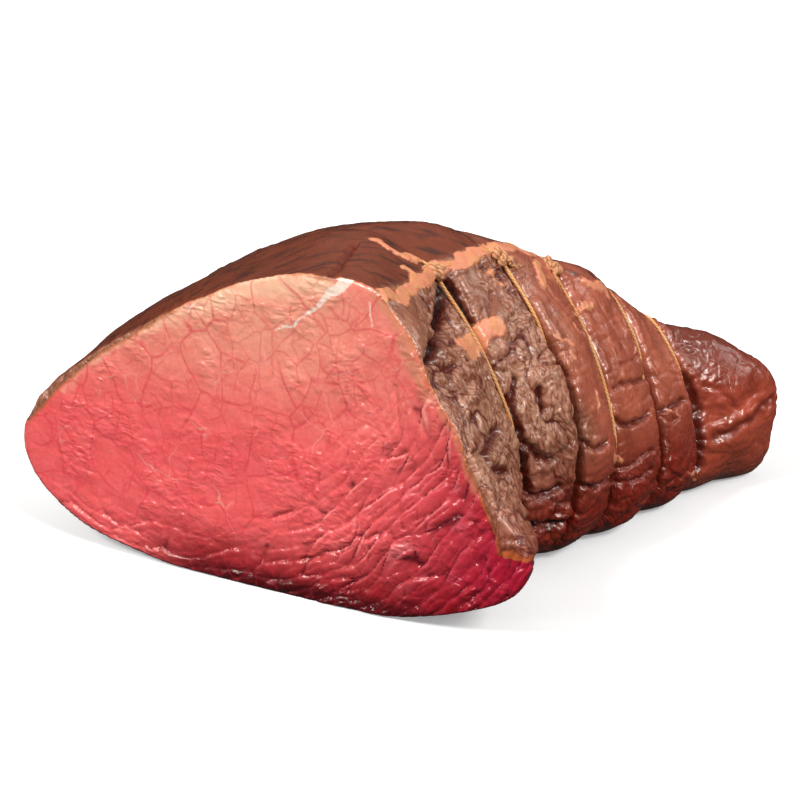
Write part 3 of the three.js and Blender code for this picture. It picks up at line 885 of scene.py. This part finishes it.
class Paint:
    """One material's node tree. Sizes in it are millimetres."""

    def __init__(self, name):
        self.material = bpy.data.materials.new(name)
        self.material.use_nodes = True
        self.tree = self.material.node_tree
        self.tree.nodes.clear()
        coordinates = self.node("TexCoord").outputs["Object"]
        self.place = self.vector("MULTIPLY", coordinates, (METRE,) * 3)

    def put(self, socket, value):
        """Sets a socket to a number, a colour or another node's value. A text names a field."""
        if isinstance(value, str):
            value = self.field(value)
        if isinstance(value, bpy.types.NodeSocket):
            self.tree.links.new(value, socket)
        elif socket.type == "RGBA":
            socket.default_value = (*value, 1)
        else:
            socket.default_value = value

    def node(self, kind, settings=None, **inputs):
        made = self.tree.nodes.new("ShaderNode" + kind)
        for name, value in (settings or {}).items():
            setattr(made, name, value)
        for name, value in inputs.items():
            self.put(made.inputs[name.replace("_", " ")], value)
        return made

    def fill(self, made, sockets, values):
        for socket, value in zip(sockets, values):
            self.put(made.inputs[socket], value)

    def worked_out(self, kind, operation, values):
        made = self.node(kind, {"operation": operation})
        self.fill(made, range(len(values)), values)
        return made.outputs[0]

    def math(self, operation, *values):
        return self.worked_out("Math", operation, values)

    def vector(self, operation, *values):
        return self.worked_out("VectorMath", operation, values)

    def times(self, colour, factors):
        return self.vector("MULTIPLY", colour, factors)

    def product(self, one, other):
        return self.math("MULTIPLY", one, other)

    def added(self, value, factor, base):
        """A value times its factor, on top of a base."""
        return self.math("MULTIPLY_ADD", value, factor, base)

    def sum_of(self, place, factors):
        """The place's three parts, each times its factor, added up."""
        made = self.node("VectorMath", {"operation": "DOT_PRODUCT"})
        self.fill(made, (0, 1), (place, factors))
        return made.outputs["Value"]

    def field(self, name, output="Fac"):
        return self.node("Attribute", {"attribute_name": name}).outputs[output]

    def cloud(self, size, detail, shift, stretch=(1, 1, 1), place=None):
        """A noise node whose lumps have this size."""
        scale = tuple(1 / size / part for part in stretch)
        spot = self.vector("MULTIPLY_ADD", place or self.place, scale, (shift,) * 3)
        return self.node("TexNoise", Vector=spot, Scale=1.0, Detail=detail)

    def noise(self, size, detail, shift, **more):
        return self.cloud(size, detail, shift, **more).outputs["Fac"]

    def moved(self, size, reach, shift):
        """The place, moved about by noise."""
        colour = self.cloud(size, 1.0, shift).outputs["Color"]
        centred = self.vector("SUBTRACT", colour, (0.5,) * 3)
        return self.vector("MULTIPLY_ADD", centred, (2 * reach,) * 3, self.place)

    def net(self, size, place, shift):
        """How far a place is from the edges of a net of cells, in millimetres."""
        spot = self.vector("MULTIPLY_ADD", place, (1 / size,) * 3, (shift,) * 3)
        edges = {"feature": "DISTANCE_TO_EDGE"}
        made = self.node("TexVoronoi", edges, Vector=spot, Scale=1.0)
        return self.product(made.outputs["Distance"], size)

    def ramp(self, value, low, high, start=0.0, end=1.0):
        """From start at low to end at high, smoothly."""
        made = self.node("MapRange", {"interpolation_type": "SMOOTHSTEP"}, Value=value)
        if low > high:
            low, high, start, end = high, low, end, start
        self.fill(made, RANGE, (low, high, start, end))
        return made.outputs["Result"]

    def mix(self, share, one, other):
        """A colour from one to the other."""
        made = self.node("Mix", {"data_type": "RGBA"})
        self.fill(made, (0, 6, 7), (share, one, other))
        return made.outputs[2]

    def between(self, share, one, other):
        """A number from one to the other."""
        made = self.node("Mix", {"data_type": "FLOAT"})
        self.fill(made, (0, 2, 3), (share, one, other))
        return made.outputs[0]

    def finish(self, colour, roughness, height, constants):
        """The shader. The height is in millimetres."""
        relief = self.node("Bump", Height=height, Distance=1 / METRE, Strength=1.0)
        way = relief.outputs["Normal"]
        shader = self.node("BsdfPrincipled", Base_Color=colour, Roughness=roughness, Normal=way)
        for name, value in constants.items():
            shader.inputs[name].default_value = value
        end = self.node("OutputMaterial")
        self.tree.links.new(shader.outputs["BSDF"], end.inputs["Surface"])
        return self.material


def cut_paint(paint):
    """The cut face's colour and fine height."""
    mottle = paint.noise(8, 3, 3.1)
    grain = paint.noise(1.3, 3, 8.7)
    tone = paint.field("cut_tone", "Color")
    pale = paint.times(tone, (1.08, 1.5, 1.45))
    colour = paint.mix(paint.ramp(mottle, 0.35, 0.7, 0, 0.5), tone, pale)
    pale = paint.times(tone, (1.1, 1.6, 1.5))
    colour = paint.mix(paint.ramp(grain, 0.4, 0.75, 0, 0.5), colour, pale)
    cream = paint.added(paint.noise(4, 3, 5), 5, "cream")
    colour = paint.mix(paint.ramp(cream, 0.5, 6, 0, 0.9), colour, (0.97, 0.58, 0.41))
    colour = paint.mix(paint.ramp("halo", -1.5, 1.8, 0, 0.72), colour, (0.64, 0.27, 0.165))

    worn = paint.noise(13, 2, 6)
    wide = paint.ramp(paint.net(NETS[0], paint.moved(24, 8, 2), 0), 0.8, 0)
    narrow = paint.ramp(paint.net(NETS[1], paint.moved(18, 6, 5), 4), 0.6, 0)
    wide = paint.product(wide, paint.ramp(worn, 0.36, 0.55, 0.15, 0.55))
    narrow = paint.product(narrow, paint.ramp(worn, 0.64, 0.42, 0, 0.4))
    line = paint.math("MAXIMUM", wide, narrow)
    line = paint.product(line, paint.ramp("fold", 0.2, 0.8, 1, 0.4))
    colour = paint.mix(line, colour, (0.66, 0.04, 0.075))
    pale = paint.ramp(paint.net(NETS[0], paint.moved(9, 6, 12), 9), 0.5, 0.05)
    pale = paint.product(pale, paint.ramp(paint.noise(13, 2, 14), 0.52, 0.66, 0, 0.45))
    pale = paint.product(pale, paint.ramp("fold", 0.2, 0.6, 1, 0.1))
    colour = paint.mix(pale, colour, (0.9, 0.45, 0.38))
    # Painted highlight: the sheets' lips lighter and paler, where they would catch the light.
    colour = paint.mix(paint.ramp("lip_highlight", 0.1, 0.8, 0, 0.8), colour, paint.times(tone, (1.3, 3, 2.6)))
    # Painted shade in the creases of the cut face, darker where they are deeper.
    colour = paint.mix(paint.ramp("dark", 0.1, 0.9, 0, 0.9), colour, (0.12, 0.003, 0.010))
    rind = paint.ramp(paint.added(mottle, 3, "from_rim"), 3.4, 1.4, 0, 0.8)
    colour = paint.mix(rind, colour, (0.50, 0.14, 0.035))
    seam = paint.added(paint.math("SUBTRACT", grain, 0.5), 0.9, "seam")
    colour = paint.mix(paint.ramp(seam, -0.4, 0.35), colour, (0.98, 0.80, 0.71))
    height = paint.product(grain, 0.08)
    height = paint.added(paint.noise(3.5, 1, 18), 0.2, height)
    moist = paint.ramp(paint.noise(17, 2, 21), 0.46, 0.62, 0.05, 0.75)
    waves = paint.noise(2.2, 1, 19, stretch=(2.2, 1, 1), place=paint.moved(8, 2, 20))
    height = paint.added(waves, moist, height)
    return colour, height


def crust_paint(paint):
    """The smoked crust's colour and fine height."""
    place = paint.moved(15, 7, 30)
    wide = paint.noise(2.4, 0, 31, stretch=(1, 1, 2.4), place=place)
    wide = paint.math("ABSOLUTE", paint.math("SUBTRACT", wide, 0.5))
    fine = paint.noise(1.1, 0, 37, stretch=(1, 1.3, 2.2), place=place)
    fine = paint.math("ABSOLUTE", paint.math("SUBTRACT", fine, 0.5))
    across = paint.sum_of(place, RIPPLE_WAY)
    across = paint.added(paint.noise(5, 2, 47), RIPPLE_BEND, across)
    ripple = paint.math("SINE", paint.product(across, 2 * math.pi / RIPPLE))
    ripple = paint.product(ripple, paint.ramp(paint.noise(9, 1, 49), 0.4, 0.6, 0.15, 1))
    patchy = paint.ramp(paint.noise(16, 1, 39), 0.35, 0.65, 0.3, 1)
    valley = paint.math("MAXIMUM", paint.ramp(wide, 0.07, 0), paint.ramp(fine, 0.05, 0, 0, 0.4))
    valley = paint.product(paint.product(valley, patchy), "rough")
    tone = paint.field("crust_tone", "Color")
    blotch = paint.ramp(paint.noise(11, 3, 22), 0.35, 0.7, 0, 0.5)
    colour = paint.mix(blotch, tone, (0.17, 0.028, 0.010))
    # Painted highlight: the ridges of the wrinkles and ripples lighter and greyer.
    ridge = paint.added(ripple, 0.05, wide)
    ridge = paint.product(paint.ramp(ridge, 0.04, 0.2), paint.ramp("rough", 0.3, 0.9, 0.05, 0.45))
    colour = paint.mix(ridge, colour, paint.times(tone, (1.75, 2.4, 2.8)))
    colour = paint.mix("streak", colour, (0.055, 0.010, 0.004))
    # Painted shade: darker in the valleys of the fine wrinkles.
    colour = paint.mix(paint.product(valley, 0.85), colour, (0.11, 0.012, 0.004))
    # Painted shade in the creases, the deep folds and the twine's grooves, near black where deepest.
    colour = paint.mix(paint.ramp("dark", 0.15, 0.7, 0, 0.95), colour, (0.11, 0.008, 0.003))
    colour = paint.mix(paint.ramp("dark", 0.7, 1, 0, 0.95), colour, (0.03, 0.003, 0.001))
    height = paint.product(paint.math("POWER", wide, 0.8), 0.72)
    height = paint.added(paint.math("POWER", fine, 0.8), 0.2, height)
    height = paint.product(height, paint.added("rough", 1.1, 0.12))
    height = paint.product(height, patchy)
    swing = paint.ramp("rough", 0.1, 0.5, 0.012, 0.06)
    height = paint.added(ripple, swing, height)
    height = paint.added(paint.noise(0.7, 1, 33), 0.03, height)
    return colour, height


def fat_paint(paint):
    """The colour and fine height of the fat on the crust."""
    pits = paint.noise(1.3, 3, 43)
    patch = paint.ramp(paint.noise(6, 3, 41), 0.4, 0.62)
    colour = paint.mix(patch, (0.74, 0.27, 0.155), (0.70, 0.29, 0.135))
    colour = paint.mix(paint.ramp(pits, 0.62, 0.75, 0, 0.4), colour, (0.4, 0.12, 0.05))
    return colour, paint.product(pits, 0.25)


def beef_paint():
    paint = Paint("beef")
    cut_colour, cut_height = cut_paint(paint)
    crust_colour, crust_height = crust_paint(paint)
    fat_colour, fat_height = fat_paint(paint)
    ragged = paint.math("SUBTRACT", paint.noise(1.6, 3, 51), 0.5)
    on_fat = paint.ramp(paint.added(ragged, 2.4, "fat"), -0.5, 0.6)
    on_cut = paint.ramp(paint.added(ragged, 0.8, "cut"), -0.2, 0.25)
    colour = paint.mix(on_cut, paint.mix(on_fat, crust_colour, fat_colour), cut_colour)
    height = paint.between(on_cut, paint.between(on_fat, crust_height, fat_height), cut_height)
    shine = paint.noise(5, 3, 55)
    dull = paint.ramp("rough", 0.3, 0.8, 0, 0.1)
    dull = paint.math("ADD", paint.ramp(shine, 0.3, 0.7, 0.24, 0.42), dull)
    dull = paint.between(on_fat, dull, 0.55)
    roughness = paint.between(on_cut, dull, paint.ramp(shine, 0.3, 0.7, 0.17, 0.3))
    soft = {
        "Subsurface Weight": 0.2,
        "Subsurface Radius": (1, 0.35, 0.25),
        "Subsurface Scale": 0.003,
        "Coat Weight": 0.5,
        "Coat Roughness": 0.25,
    }
    return paint.finish(colour, roughness, height, soft)


def twine_paint():
    paint = Paint("twine")
    stain = paint.noise(12, 3, 61)
    colour = paint.mix(paint.ramp(stain, 0.35, 0.65), (0.86, 0.38, 0.115), (0.92, 0.52, 0.21))
    fleck = paint.noise(0.6, 2, 64)
    colour = paint.mix(paint.ramp(fleck, 0.4, 0.7, 0, 0.5), colour, (0.93, 0.62, 0.33))
    colour = paint.mix(paint.product("knot", 0.8), colour, (0.60, 0.30, 0.17))
    # Painted shade in the grooves between the plies.
    colour = paint.mix(paint.ramp("ply", 0.8, 0.1, 0, 0.85), colour, (0.35, 0.08, 0.02))
    return paint.finish(colour, 0.75, paint.product(fleck, 0.2), {"Subsurface Weight": 0.05})


def add_sun(name, azimuth, elevation, spread, strength):
    """A soft, even light from a direction: azimuth 0 is in front of the cut, and 90 to its right."""
    data = bpy.data.lights.new(name, "SUN")
    data.angle = math.radians(spread)
    data.energy = strength
    data.color = WARM
    lamp = placed(name, data)
    turn = math.radians(azimuth)
    up = math.radians(elevation)
    way = Vector((math.sin(turn) * math.cos(up), -math.cos(turn) * math.cos(up), math.sin(up)))
    lamp.rotation_euler = way.to_track_quat("Z", "Y").to_euler()


def make_sky():
    """An even sky, brighter above than below."""
    world = bpy.data.worlds.new("studio")
    world.use_nodes = True
    bpy.context.scene.world = world
    tree = world.node_tree
    tree.nodes.clear()
    way = tree.nodes.new("ShaderNodeTexCoord").outputs["Generated"]
    height = tree.nodes.new("ShaderNodeSeparateXYZ")
    tree.links.new(way, height.inputs[0])
    strength = tree.nodes.new("ShaderNodeMapRange")
    tree.links.new(height.outputs["Z"], strength.inputs["Value"])
    for name, value in zip(RANGE, SKY):
        strength.inputs[name].default_value = value
    sky = tree.nodes.new("ShaderNodeBackground")
    sky.inputs["Color"].default_value = (*WARM, 1)
    tree.links.new(strength.outputs["Result"], sky.inputs["Strength"])
    out = tree.nodes.new("ShaderNodeOutputWorld")
    tree.links.new(sky.outputs[0], out.inputs["Surface"])


def make_studio():
    make_sky()
    for number, sun in enumerate(SUNS):
        add_sun(f"sun_{number + 1}", *sun)
    half = FLOOR_SIDE / 2
    corners = [(-half, -half, 0), (half, -half, 0), (half, half, 0), (-half, half, 0)]
    mesh = bpy.data.meshes.new("floor")
    mesh.from_pydata(corners, [], [(0, 1, 2, 3)])
    floor = placed("floor", mesh)
    glow = {"Emission Color": (1, 1, 1, 1), "Emission Strength": FLOOR_GLOW}
    mesh.materials.append(Paint("floor").finish((0.85, 0.9, 0.96), 0.9, 0.0, glow))
    floor.visible_diffuse = False
    floor.visible_glossy = False


def make_camera():
    data = bpy.data.cameras.new("camera")
    data.lens = LENS
    data.sensor_width = SENSOR
    camera = placed("camera", data)
    _, _, back = camera_axes()
    camera.location = Vector((TARGET + back * DISTANCE) / METRE)
    camera.rotation_euler = Vector(back).to_track_quat("Z", "Y").to_euler()
    bpy.context.scene.camera = camera


bpy.context.scene.view_settings.view_transform = "Standard"
make_camera()
make_studio()
make_twine(make_meat())
